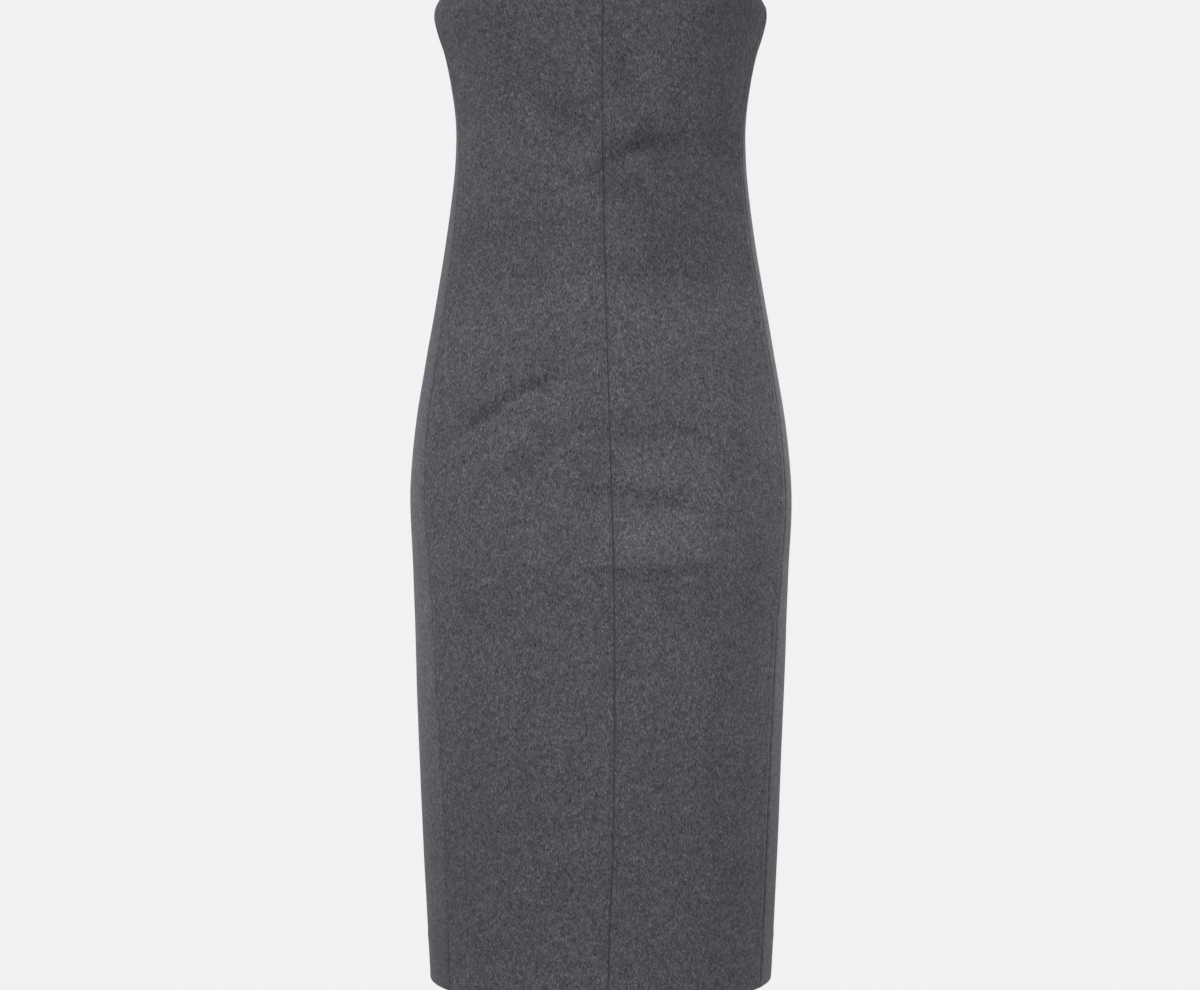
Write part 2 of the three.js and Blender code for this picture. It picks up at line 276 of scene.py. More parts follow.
def unevenness(across, height, cell, seed):
    """Smooth random swell, about 1 high, with bumps of about this size."""
    grid = np.random.default_rng(seed).uniform(-1, 1, (SWELL_CELLS, SWELL_CELLS))
    u, v = across / cell + SWELL_START[0], height / cell + SWELL_START[1]
    i, j = np.floor(u).astype(int), np.floor(v).astype(int)
    fu, fv = u - i, v - j
    fu, fv = fu * fu * (3 - 2 * fu), fv * fv * (3 - 2 * fv)

    def corner(a, b):
        return grid[(i + a) % SWELL_CELLS, (j + b) % SWELL_CELLS]

    low = corner(0, 0) * (1 - fu) + corner(1, 0) * fu
    high = corner(0, 1) * (1 - fu) + corner(1, 1) * fu
    return low * (1 - fv) + high * fv


def hang(across, height):
    """How unevenly the cloth hangs between its creases: a broad swell and a finer one."""
    broad = BROAD_SWELL * unevenness(across, height, BROAD_CELL, SWELL_SEED)
    return broad + FINE_SWELL * unevenness(across, height, FINE_CELL, SWELL_SEED + 1)


# Painted light and shade laid into the cloth's colour: lighter and darker patches that stand in for
# the shade of the creases and the fall of light over the form. Left, right, top and bottom of the
# patch, softness of its edge, change in lightness
FRONT_PAINTED_LIGHT = [
    (-200, 200, -250, -500, 14, 0.045),
    (120, 200, -250, -580, 20, -0.08),
    (-200, -132, -262, -490, 12, -0.045),
    (-140, -45, -190, -252, 14, -0.055),
    (34, 200, -126, -248, 12, -0.15),
    (98, 200, 60, -130, 22, -0.22),
    (-58, -28, 0, -36, 10, -0.05),
    (6, 76, -122, -150, 9, -0.10),
    (-6, 36, -152, -180, 9, -0.25),
    (14, 31, -36, -108, 7, -0.08),
    (40, 58, -66, -112, 7, 0.07),
    (-56, -10, -92, -136, 9, -0.10),
    (-92, -62, -88, -114, 8, 0.05),
    (-120, -50, -348, -392, 9, -0.03),
    (-96, -36, -384, -410, 8, 0.08),
    (-74, 12, -398, -444, 10, -0.08),
    (-12, 58, -370, -400, 12, -0.07),
    (22, 108, -410, -434, 8, 0.09),
    (2, 74, -438, -452, 6, -0.06),
    (18, 98, -458, -494, 8, 0.14),
    (60, 104, -432, -460, 8, 0.06),
    (30, 70, -520, -660, 16, 0.03),
    (10, 150, -852, -900, 14, -0.04),
    (96, 200, -500, -884, 16, -0.05),
    (-200, 200, -690, -900, 60, -0.075),
]
BACK_PAINTED_LIGHT = [
    (-200, 200, -250, -500, 20, 0.05),
    (-90, -24, -148, -172, 8, -0.13),
    (22, 92, -140, -162, 8, -0.12),
    (-72, -14, -182, -200, 7, -0.09),
    (26, 98, -180, -198, 7, -0.10),
    (30, 120, -330, -358, 10, -0.11),
    (-124, -40, -344, -372, 10, -0.12),
    (-104, -36, -384, -412, 12, 0.07),
    (40, 108, -372, -400, 12, 0.06),
    (-90, -20, -430, -486, 14, 0.07),
    (26, 92, -420, -474, 14, 0.06),
    (-90, -18, -498, -516, 7, -0.12),
    (22, 88, -486, -506, 7, -0.11),
    (-200, 200, -690, -900, 60, -0.08),
    (-200, -120, -740, -900, 40, -0.07),
    (-200, -120, -826, -910, 22, -0.11),
    (-200, -120, -236, -420, 20, -0.07),
    (-200, -120, -530, -600, 20, 0.08),
    (120, 200, -500, -640, 20, 0.12),
]


def between(value, low, high, soft):
    """1 from the low value to the high one and 0 outside them, with soft ends."""
    return smooth_step(value, low - soft, low + soft) * smooth_step(-value, -high - soft, -high + soft)


def painted_light_at(across, height, painted_patches):
    """How much painted light and shade lies at these points, 1 for plain cloth."""
    value = np.ones_like(across)
    for left, right, top, bottom, soft, change in painted_patches:
        value += change * (between(across, left, right, soft) * between(height, bottom, top, soft))
    return value


# ---- The four panels: cutting and sewing ----
# Every edge is folded in, so the cloth is double along seams, hem and top, and rolls under in
# the last millimetre beside a seam. Rows and columns of points crowd together at the edges.
EDGE_STEPS = [0, 0.2, 0.5, 0.9, 1.4, 2.1, 3.0, 4.2, 5.8, 7.8, 9.8, 11.4, 12.2, 13.2, 15.5]
TOP_STEPS = [0, 0.3, 0.7, 1.2, 1.9, 3.0, 5, 8, 12, 16, 20, 24, 27.5, 29.6, 30.6, 32.5]
HEM_STEPS = [0, 0.3, 0.7, 1.2, 1.9, 3.0, 5, 8, 12, 17, 22, 27, 32, 36.5, 39.5, 40.5, 42.5]
ROW_STEP = 2.7
SEAM_GAP = -0.02  # a stitched seam holds its two folds pressed together
SEAM_ROLL = 1.1
EDGE_ROLL = 1.9
SIDE_SINK = 1.2  # how much wider the side seams roll below the hip
SIDE_SINK_FROM, SIDE_SINK_TO = 420, 620
ZIP_OPENING = 0.85
ZIP_OPENING_DEPTH = 46.0
SLIT_LENGTH = 200.0
SLIT_OPENING = 2.2
SLIT_END = 20.0  # over which the sewn seam turns into the slit's pressed folds

# How high the cloth stands over the plain form, and over how much cloth that dies out
CREASES_FADE = 30.0  # beside a side seam
RIDGE_FROM_SEAM, RIDGE_SPREAD = 5.5, 3.4
RIDGE_START = 3.0
PEAK_SPREAD = 12.0
PUCKER, PUCKER_CELL, PUCKER_SPREAD = 0.22, 17, 14.0
SEAM_LIFT, TOP_LIFT, HEM_LIFT = 0.18, 0.15, 0.12  # where the cloth is turned in
# how far before and after the end of the turned cloth its lift and its second layer die out
SEAM_LIFT_END, EDGE_LIFT_END = (2, 3), (2, 4)
SEAM_WALL_END, EDGE_WALL_END = (0.3, 0.5), (0.2, 0.6)
HEM_RIDGE, HEM_RIDGE_SPREAD = 0.30, 3.0
CALM_FROM, CALM_TO = -6, 10  # the swell dies out towards the top edge and the hem
SEAM_SHADE_SPREAD = 1.8  # painted shade along a seam's groove, and a painted highlight on the ridge beside it
HIGHLIGHT_FROM_SEAM, HIGHLIGHT_SPREAD = 11, 7
CHARTS_APART = 700.0


def plain_gap(level):
    """How far the folded edge lies from the line of its seam."""
    return np.full_like(level, SEAM_GAP)


def back_gap(level):
    """The back seam opens a little over the zip's top end and widens again down the slit."""
    zip_gap = ZIP_OPENING * (1 - smooth_step(-level, 0, ZIP_OPENING_DEPTH))
    slit_gap = SLIT_OPENING * smooth_step(-level, -HEM_LEVEL - SLIT_LENGTH, -HEM_LEVEL)
    return SEAM_GAP + zip_gap + slit_gap


def seam_roll(level):
    """How wide the rolled edge beside a seam is: a sewn edge rolls under tightly."""
    return np.full_like(level, SEAM_ROLL)


def side_roll(level):
    """The left side seam sinks deeper below the hip, where the cloth hangs free."""
    return SEAM_ROLL + SIDE_SINK * smooth_step(-level, SIDE_SINK_FROM, SIDE_SINK_TO)


def slit_roll(level):
    """The free edges of the slit are pressed folds, rounder than a sewn edge."""
    free = smooth_step(-level, -HEM_LEVEL - SLIT_LENGTH, -HEM_LEVEL - SLIT_LENGTH + SLIT_END)
    return SEAM_ROLL + (EDGE_ROLL - SEAM_ROLL) * free


def within(distance, turn, before, after):
    """1 on the cloth turned in along an edge and 0 past it, with a soft change where it ends."""
    return 1 - smooth_step(distance, turn - before, turn + after)


def places(mesh):
    """Where the points of a mesh are."""
    flat = np.empty(len(mesh.vertices) * 3)
    mesh.vertices.foreach_get("co", flat)
    return flat.reshape(-1, 3)


def lay_out(mesh, points, chart):
    """Moves the points of a mesh, and notes where each lies on the flat cloth as its UV map."""
    mesh.vertices.foreach_set("co", points.ravel())
    corner = np.empty(len(mesh.loops), int)
    mesh.loops.foreach_get("vertex_index", corner)
    if not mesh.uv_layers:
        mesh.uv_layers.new()
    mesh.uv_layers[0].name = "cloth"
    mesh.uv_layers[0].data.foreach_set("uv", chart[corner].ravel())
    mesh.update()


def lay_grid(name, points, chart, nap_and_painted_light):
    """A grid whose crossings are laid on the given points, with the chart as its UV map."""
    rows, columns = points.shape[0] - 1, points.shape[1] - 1
    bpy.ops.mesh.primitive_grid_add(x_subdivisions=columns, y_subdivisions=rows, size=1)
    piece = bpy.context.object
    piece.name = name
    flat = places(piece.data)
    at = np.rint((0.5 - flat[:, 1]) * rows).astype(int), np.rint((flat[:, 0] + 0.5) * columns).astype(int)
    lay_out(piece.data, points[at], chart[at])
    # the painted light and shade, noted at each point for the cloth's colour
    noted = piece.data.attributes.new("nap_and_painted_light", "FLOAT", "POINT")
    noted.data.foreach_set("value", nap_and_painted_light[at])
    return piece


def only(*pieces):
    """Selects these pieces and nothing else."""
    bpy.ops.object.select_all(action="DESELECT")
    for piece in pieces:
        piece.select_set(True)
    bpy.context.view_layer.objects.active = pieces[0]


def join(*pieces):
    """Makes these pieces one, under the name of the first."""
    only(*pieces)
    bpy.ops.object.join()


def edit_all(piece):
    """Opens a piece for editing, with all of it selected."""
    only(piece)
    bpy.ops.object.mode_set(mode="EDIT")
    bpy.ops.mesh.select_all(action="SELECT")


def face_outwards():
    """Turns every face of the piece being edited outwards, and ends the editing."""
    bpy.ops.mesh.select_all(action="SELECT")
    bpy.ops.mesh.normals_make_consistent(inside=False)
    bpy.ops.object.mode_set(mode="OBJECT")


def sew_sides_together(right_side, wrong_side):
    """Joins the two faces of a piece of cloth along their shared edges into one closed skin."""
    edit_all(wrong_side)
    bpy.ops.mesh.flip_normals()
    bpy.ops.object.mode_set(mode="OBJECT")
    join(right_side, wrong_side)
    edit_all(right_side)
    bpy.ops.mesh.remove_doubles(threshold=0.01 * MM)
    face_outwards()
    bpy.ops.object.shade_smooth()
    return right_side


def panel(name, start, end, columns, creases, painted_patches, chart_number):
    """One panel of the dress, between its start seam and its end seam, with its flat size and area."""
    body = np.arange(-TOP_STEPS[-1] - ROW_STEP, HEM_LEVEL + HEM_STEPS[-1] + ROW_STEP / 2, -ROW_STEP)
    rows = np.concatenate([-np.array(TOP_STEPS), body, HEM_LEVEL + np.array(HEM_STEPS)[::-1]])
    steps = np.array(EDGE_STEPS)
    first = start["line"](rows) + start["gap"](rows) / per_degree(start["line"](rows), rows)
    final = end["line"](rows) - end["gap"](rows) / per_degree(end["line"](rows), rows)
    near = first[:, None] + steps[None, :] / per_degree(first, rows)[:, None]
    far = final[:, None] - steps[None, ::-1] / per_degree(final, rows)[:, None]
    share = np.arange(1, columns)[None, :] / columns
    middle = near[:, -1:] + (far[:, :1] - near[:, -1:]) * share
    angle = np.concatenate([near, middle, far], axis=1)
    level = np.repeat(rows[:, None], angle.shape[1], axis=1)

    form = outer_point(angle, level)
    normal = outward(angle, level)
    widths = np.linalg.norm(np.diff(form, axis=1), axis=-1)
    from_start = np.concatenate([np.zeros((len(rows), 1)), np.cumsum(widths, axis=1)], axis=1)
    from_end = from_start[:, -1:] - from_start
    from_top = -level
    from_hem = level - HEM_LEVEL

    x, z = form[..., 0], form[..., 2]
    swell = hang(x, z)
    drawn = crease(x, z, creases)
    # painted light and shade over the panel, from its table
    nap_and_painted_light = painted_light_at(x, z, painted_patches)
    for side, distance in ((start, from_start), (end, from_end)):
        if side["fades"]:
            drawn *= smooth_step(distance, 0, CREASES_FADE)
        ridge = bell(distance, RIDGE_FROM_SEAM, RIDGE_SPREAD)
        swell += side["ridge"] * ridge * smooth_step(distance, 0, RIDGE_START)
        swell += side["peak"] * np.exp(-distance / PEAK_SPREAD)
        pucker = PUCKER * unevenness(from_top, distance * 0, PUCKER_CELL, SWELL_SEED + 2)
        swell += pucker * np.exp(-distance / PUCKER_SPREAD)
        swell += SEAM_LIFT * within(distance, SEAM_TURN, *SEAM_LIFT_END)
        # painted shade along the seam's groove and a painted highlight on the ridge beside it
        nap_and_painted_light *= 1 - side["press"] * bell(distance, 0, SEAM_SHADE_SPREAD)
        nap_and_painted_light *= 1 + side["rub"] * bell(distance, HIGHLIGHT_FROM_SEAM, HIGHLIGHT_SPREAD)
    swell += drawn
    hem_ridge = HEM_RIDGE * bell(from_hem, HEM_TURN, HEM_RIDGE_SPREAD)
    swell += hem_ridge + HEM_LIFT * within(from_hem, HEM_TURN, *EDGE_LIFT_END)
    swell += TOP_LIFT * within(from_top, TOP_TURN, *EDGE_LIFT_END)
    swell *= smooth_step(np.minimum(from_top, from_hem), CALM_FROM, CALM_TO)

    doubled = within(np.minimum(from_start, from_end), SEAM_TURN, *SEAM_WALL_END)
    doubled = np.maximum(doubled, within(from_top, TOP_TURN, *EDGE_WALL_END))
    doubled = np.maximum(doubled, within(from_hem, HEM_TURN, *EDGE_WALL_END))
    wall = CLOTH * (1 + doubled)
    near_seam = np.minimum(from_start / start["roll"](rows)[:, None], from_end / end["roll"](rows)[:, None])
    near_edge = np.minimum(from_top, from_hem) / EDGE_ROLL
    nearness = np.clip(np.minimum(near_seam, near_edge), 0, 1)
    rolled = wall / 2 * (1 - np.sqrt(1 - (1 - nearness) ** 2))
    over_edge = np.where(near_edge < near_seam, np.where(from_top < from_hem, rolled, -rolled), 0)
    over_seam = np.where(near_edge < near_seam, 0, np.where(from_start < from_end, -rolled, rolled))

    right = (form + normal * (swell - rolled)[..., None]) * MM
    wrong = (form + normal * (swell - wall + rolled)[..., None]) * MM
    chart = np.stack([from_start + over_seam + chart_number * CHARTS_APART, level + over_edge], axis=-1) * MM
    plain = lay_grid(name + "_wrong_side", wrong, chart, np.ones_like(nap_and_painted_light))
    cut = sew_sides_together(lay_grid(name, right, chart, nap_and_painted_light), plain)

    girth = from_start[:, -1]
    flat_width = girth.max() + 2 * SEAM_TURN
    flat_length = z.max() - z.min() + HEM_TURN + TOP_TURN
    area = (np.abs(np.diff(rows)) * (girth[1:] + girth[:-1]) / 2).sum()
    area += 2 * SEAM_TURN * -HEM_LEVEL + (HEM_TURN + TOP_TURN) * flat_width
    return cut, (flat_width * MM, flat_length * MM), min(area, flat_width * flat_length) * MM * MM


# ---- The four panels: the flannel ----
# Wool dyed in the fibre: near-black, grey and a few pale fibres are carded together, woven
# and milled, so a short soft nap hides the weave and the grey is heathered.
WOOL_GREY = (0.0880, 0.0876, 0.1028, 1)
WOOL_DARK = (0.0340, 0.0338, 0.0402, 1)
WOOL_PALE = (0.2050, 0.2050, 0.2310, 1)
WOOL_BLOOM = (0.80, 0.81, 0.86, 1)


def feed(tree, socket, value):
    """Sets a socket, or links it to another socket or to the first output of a node."""
    if isinstance(value, bpy.types.Node):
        value = next(output for output in value.outputs if output.enabled)
    if isinstance(value, bpy.types.NodeSocket):
        tree.links.new(value, socket)
    else:
        socket.default_value = value


def node(tree, kind, place, *first_sockets, **settings_and_sockets):
    """A node of a material, with what goes into its first sockets and those it names."""
    made = tree.nodes.new(kind)
    made.location = place
    for key, value in settings_and_sockets.items():
        if key in made.inputs:
            feed(tree, made.inputs[key], value)
        else:
            setattr(made, key, value)
    for socket, value in zip(made.inputs, first_sockets):
        feed(tree, socket, value)
    return made


def times(tree, place, first, second):
    """Multiplies two values."""
    return node(tree, "ShaderNodeMath", place, first, second, operation="MULTIPLY")


def ranged(tree, place, value, low, high, start=0, end=1):
    """Spreads a value that runs from start to end over the range from low to high."""
    return node(tree, "ShaderNodeMapRange", place, value, start, end, low, high)


def blend(tree, place, factor, under, over):
    """Lays one colour over another by this factor."""
    return node(tree, "ShaderNodeMix", place, data_type="RGBA", Factor=factor, A=under, B=over)


def plain_finish(name, roughness, specular):
    """A material to build on: itself, its tree and the sockets of its shader."""
    made = bpy.data.materials.new(name)
    made.use_nodes = True
    shader = made.node_tree.nodes["Principled BSDF"].inputs
    shader["Roughness"].default_value = roughness
    shader["Specular IOR Level"].default_value = specular
    return made, made.node_tree, shader


def fibre_group():
    """A shader group: streaks of fibre on the cloth's own chart, as a mask from 0 to 1."""
    tree = bpy.data.node_groups.new("fibres", "ShaderNodeTree")
    for label in ("Across per metre", "Along per metre", "Turn", "Wander", "Seed"):
        tree.interface.new_socket(label, in_out="INPUT", socket_type="NodeSocketFloat")
    tree.interface.new_socket("Chart", in_out="INPUT", socket_type="NodeSocketVector")
    tree.interface.new_socket("Mask", in_out="OUTPUT", socket_type="NodeSocketFloat")
    across, along, turn, wander, seed, chart = list(tree.nodes.new("NodeGroupInput").outputs)[:6]
    turned = node(
        tree, "ShaderNodeVectorRotate", (300, 200), rotation_type="Z_AXIS", Vector=chart, Angle=turn
    )
    stretch = node(tree, "ShaderNodeCombineXYZ", (200, 0), across, along)
    scaled = node(tree, "ShaderNodeVectorMath", (400, 0), turned, stretch, operation="MULTIPLY")
    lift = node(tree, "ShaderNodeCombineXYZ", (200, -200), Z=seed)
    moved = node(tree, "ShaderNodeVectorMath", (500, -100), scaled, lift, operation="ADD")
    noise = node(
        tree, "ShaderNodeTexNoise", (600, 0), noise_dimensions="3D",
        Vector=moved, Scale=1.0, Detail=1.0, Distortion=wander,
    )
    node(tree, "NodeGroupOutput", (800, 0), noise)
    return tree


fibres = fibre_group()


def flannel():
    """The wool's finish: heathered colour, soft nap, a faint bloom at grazing angles, and the painted light
    and shade noted on the panels.
    """
    made, tree, shader = plain_finish("wool_flannel", roughness=0.92, specular=0.25)
    shader["Sheen Weight"].default_value = 0.15
    shader["Sheen Roughness"].default_value = 0.30
    shader["Sheen Tint"].default_value = WOOL_BLOOM
    chart = node(tree, "ShaderNodeUVMap", (-1400, 0), uv_map="cloth")

    def layer(across, along, turn, wander, seed, low, high):
        streaks = node(
            tree, "ShaderNodeGroup", (-1100, 0), across, along, turn, wander, seed, chart, node_tree=fibres
        )
        return node(tree, "ShaderNodeMapRange", (-900, 0), streaks, low, high)

    # streaks across and along in a metre, turn, wander, seed, where the mask starts and is full
    dark = layer(880, 420, 0.10, 0.7, 3.0, 0.44, 0.66)
    pale = layer(1120, 390, -0.15, 0.9, 11.0, 0.52, 0.72)
    rare = layer(1600, 280, 0.2, 1.2, 23.0, 0.66, 0.74)
    clouds = layer(240, 150, 0.0, 0.5, 31.0, 0.35, 0.65)
    brushed = layer(46, 34, 0.0, 1.0, 47.0, 0.30, 0.70)
    hair = layer(4400, 720, 0.45, 0.6, 61.0, 0.30, 0.70)
    cross = layer(4000, 640, -0.55, 0.6, 79.0, 0.30, 0.70)
    colour = WOOL_GREY
    for mask, share, fibre in ((dark, 0.95, WOOL_DARK), (pale, 0.80, WOOL_PALE), (rare, 0.60, WOOL_PALE)):
        colour = blend(tree, (-500, 0), times(tree, (-700, 0), mask, share), colour, fibre)
    fuzz = node(tree, "ShaderNodeMath", (-450, -300), hair, cross, operation="ADD")
    # the painted light and shade noted on the panels' points darkens and lightens the colour
    painted_light = node(tree, "ShaderNodeAttribute", (-400, 200), attribute_name="nap_and_painted_light")
    shade = times(
        tree, (-250, -80),
        ranged(tree, (-300, 0), clouds, 0.84, 1.16), ranged(tree, (-300, -150), brushed, 0.93, 1.07),
    )
    shade = times(tree, (-225, -80), shade, ranged(tree, (-350, -300), fuzz, 0.68, 1.32, end=2))
    shade = times(tree, (-210, 40), shade, painted_light.outputs["Fac"])
    tint = node(tree, "ShaderNodeVectorMath", (-200, 0), colour, operation="SCALE", Scale=shade)
    nap_and_painted_light = node(tree, "ShaderNodeMath", (-500, -300), pale, dark, operation="SUBTRACT")
    bump = node(tree, "ShaderNodeBump", (-200, -300), Strength=0.35, Distance=0.25 * MM, Height=nap_and_painted_light)
    hairy = node(
        tree, "ShaderNodeBump", (-100, -300), Strength=0.45, Distance=0.10 * MM, Height=fuzz, Normal=bump
    )
    feed(tree, shader["Base Color"], tint)
    feed(tree, shader["Normal"], hairy)
    return made


wool = flannel()

# Each seam: its line, its gap and how tightly it rolls; how high the ridge beside it and the
# cloth at it stand; how dark the painted shade along its groove is and how light the painted
# highlight on the ridge beside it is; and whether creases fade out towards it
FRONT_SEAM = dict(
    line=front_seam, gap=plain_gap, roll=seam_roll, ridge=0.15, peak=0, press=0.1, rub=0, fades=False
)
BACK_SEAM = dict(FRONT_SEAM, line=back_seam, gap=back_gap, roll=slit_roll)
BACK_SEAM_BEHIND = dict(BACK_SEAM, line=lambda level: back_seam(level) - 360)
LEFT_OF_FRONT = dict(
    line=left_seam, gap=plain_gap, roll=side_roll, ridge=0.9, peak=1.2, press=0.25, rub=0.08, fades=True
)
LEFT_OF_BACK = dict(LEFT_OF_FRONT, ridge=0.2, rub=0)
RIGHT_OF_FRONT = dict(
    line=right_seam, gap=plain_gap, roll=seam_roll, ridge=0.1, peak=1.6, press=0.05, rub=0, fades=True
)
RIGHT_OF_BACK = dict(RIGHT_OF_FRONT, ridge=0.2)

# columns of points, creases, painted light and shade, number of the chart
FRONT = (46, FRONT_CREASES, FRONT_PAINTED_LIGHT, 2)
BACK = (58, BACK_CREASES, BACK_PAINTED_LIGHT, 3)
CUT = {
    "front_left_panel": (FRONT_SEAM, LEFT_OF_FRONT, *FRONT),
    "front_right_panel": (RIGHT_OF_FRONT, FRONT_SEAM, *FRONT),
    "back_left_panel": (LEFT_OF_BACK, BACK_SEAM, *BACK),
    "back_right_panel": (BACK_SEAM_BEHIND, RIGHT_OF_BACK, *BACK),
}
for node_name, cut in CUT.items():
    piece, flat, area = panel(node_name.replace("_panel", "_cloth"), *cut)
    piece.data.materials.append(wool)
    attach(piece, "dress")
    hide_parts(node_name)

# ---- The concealed zip: tapes and their stitching ----
# Two narrow woven tapes, dyed to match the wool, sewn flat to the folded edges of the back
# panels on the inside. Each rolls a little towards the coil along the edge beside the seam.
TAPE_INNER = 1.1  # from the seam
TAPE_OUTER = 13.0
TAPE_THICKNESS = 0.7
TAPE_DEPTH = 4.05  # from the right side of the panels
TAPE_TOP = -4.0
TAPE_BOTTOM = -482.0
TAPE_ROLL, TAPE_ROLL_SPREAD = 0.45, 0.9
TAPE_GREY = (0.040, 0.040, 0.046)
TAPE_THREADS = {"X": 1900, "Y": 1300}  # in a metre, across and along
THREAD_DARK = (0.030, 0.030, 0.034, 1)
THREAD_PALE = (0.075, 0.076, 0.084, 1)
STITCH_LENGTH = 2.6
STITCH_SHOWS = 0.38  # half of each stitch that lies on top, as a share of its length
STITCH_HALF_WIDTH, STITCH_HALF_DEPTH = 0.24, 0.17
STITCH_LINE = 7.2  # from the seam


def set_in_back_seam(piece):
    """Lays a piece that was made flat, with the seam as its middle line, inside the back seam."""
    across, out, level = places(piece.data).T / MM
    middle = back_seam(level)
    angle = middle - across / per_degree(middle, level)
    form = outer_point(angle, level)
    x, z = form[:, 0], form[:, 2]
    rise = out + (hang(x, z) + crease(x, z, BACK_CREASES))
    points = (form + outward(angle, level) * rise[:, None]) * MM
    lay_out(piece.data, points, np.stack([across, level], axis=-1) * MM)


def fix_in_place(piece):
    """Works a piece's place, turn and size into its mesh."""
    only(piece)
    bpy.ops.object.transform_apply(location=True, rotation=True, scale=True)


def new_piece(name, size=(1, 1, 1)):
    """Names the shape just added, gives it its size in millimetres and fixes it in place."""
    made = bpy.context.object
    made.name = made.data.name = name
    made.scale = size
    fix_in_place(made)
    return made


def apply_modifier(piece, kind, **settings):
    only(piece)
    made = piece.modifiers.new(kind.title(), kind)
    for key, value in settings.items():
        setattr(made, key, value)
    bpy.ops.object.modifier_apply(modifier=made.name)


def mirrored_copy(piece, name, drop=0.0):
    """The other side's piece: turned over about the seam, and set lower by the drop."""
    only(piece)
    bpy.ops.object.duplicate(linked=False)
    other = bpy.context.object
    other.name = other.data.name = name
    edit_all(other)
    bpy.ops.transform.resize(value=(-1, 1, 1), center_override=(0, 0, 0))
    bpy.ops.transform.translate(value=(0, 0, -drop * MM))
    face_outwards()
    return other


def woven_tape():
    """A close ribbed weave: threads over and under each other, each a little lighter or darker."""
    made, tree, shader = plain_finish("zip_tape_weave", roughness=0.80, specular=0.30)
    chart = node(tree, "ShaderNodeUVMap", (-1400, 0), uv_map="cloth")
    axes = node(tree, "ShaderNodeSeparateXYZ", (-1200, 0), chart)
    waves = []
    for axis, threads in TAPE_THREADS.items():
        turn = times(tree, (-1000, 0), axes.outputs[axis], threads * math.pi)
        waves.append(node(tree, "ShaderNodeMath", (-800, 0), turn, operation="SINE"))
    crossing = times(tree, (-600, 0), *waves)
    spun = node(tree, "ShaderNodeTexNoise", (-600, -200), Vector=chart, Scale=900.0, Detail=2.0)
    level = ranged(tree, (-400, 0), crossing, 0.72, 1.18, start=-1)
    level = times(tree, (-300, -100), level, ranged(tree, (-400, -200), spun, 0.80, 1.20))
    tint = node(tree, "ShaderNodeVectorMath", (-200, 0), TAPE_GREY, operation="SCALE", Scale=level)
    bump = node(tree, "ShaderNodeBump", (-200, -300), Strength=0.5, Distance=0.12 * MM, Height=crossing)
    feed(tree, shader["Base Color"], tint)
    feed(tree, shader["Normal"], bump)
    return made


def spun_thread():
    """Sewing thread: fine slanting plies, with a dull shine."""
    made, tree, shader = plain_finish("sewing_thread", roughness=0.62, specular=0.35)
    place = node(tree, "ShaderNodeTexCoord", (-900, 0)).outputs["Object"]
    plies = node(
        tree, "ShaderNodeTexWave", (-600, 0), bands_direction="DIAGONAL",
        Vector=place, Scale=900.0, Distortion=1.5,
    ).outputs["Fac"]
    bump = node(tree, "ShaderNodeBump", (-300, -300), Strength=0.6, Distance=0.08 * MM, Height=plies)
    feed(tree, shader["Base Color"], blend(tree, (-300, 0), plies, THREAD_DARK, THREAD_PALE))
    feed(tree, shader["Normal"], bump)
    return made


weave = woven_tape()
thread = spun_thread()

tape_width = TAPE_OUTER - TAPE_INNER
tape_length = TAPE_TOP - TAPE_BOTTOM
flat_tape = (tape_width * MM, tape_length * MM)
bpy.ops.mesh.primitive_grid_add(
    x_subdivisions=10, y_subdivisions=160, size=1, rotation=(math.pi / 2, 0, 0),
    location=(
        (TAPE_INNER + TAPE_OUTER) / 2 * MM,
        -(TAPE_DEPTH + TAPE_THICKNESS / 2) * MM,
        (TAPE_TOP + TAPE_BOTTOM) / 2 * MM,
    ),
)
left_tape = new_piece("zip_tape_left_cloth", (*flat_tape, 1))
for vertex in left_tape.data.vertices:
    from_edge = vertex.co.x / MM - TAPE_INNER
    vertex.co.y -= TAPE_ROLL * MM * math.exp(-from_edge / TAPE_ROLL_SPREAD)
apply_modifier(left_tape, "SOLIDIFY", thickness=TAPE_THICKNESS * MM, offset=0)
edit_all(left_tape)
face_outwards()
right_tape = mirrored_copy(left_tape, "zip_tape_right_cloth")

bpy.ops.mesh.primitive_uv_sphere_add(
    segments=6, ring_count=4, radius=1,
    location=(STITCH_LINE * MM, -(TAPE_DEPTH + TAPE_THICKNESS) * MM, (TAPE_TOP - STITCH_LENGTH) * MM),
)
left_stitches = new_piece(
    "zip_stitches_left", (STITCH_HALF_WIDTH * MM, STITCH_HALF_DEPTH * MM, STITCH_SHOWS * STITCH_LENGTH * MM)
)
apply_modifier(
    left_stitches, "ARRAY", count=int(tape_length / STITCH_LENGTH) - 1, use_relative_offset=False,
    use_constant_offset=True, constant_offset_displace=(0, 0, -STITCH_LENGTH * MM),
)
bpy.ops.object.shade_smooth()
right_stitches = mirrored_copy(left_stitches, "zip_stitches_right")

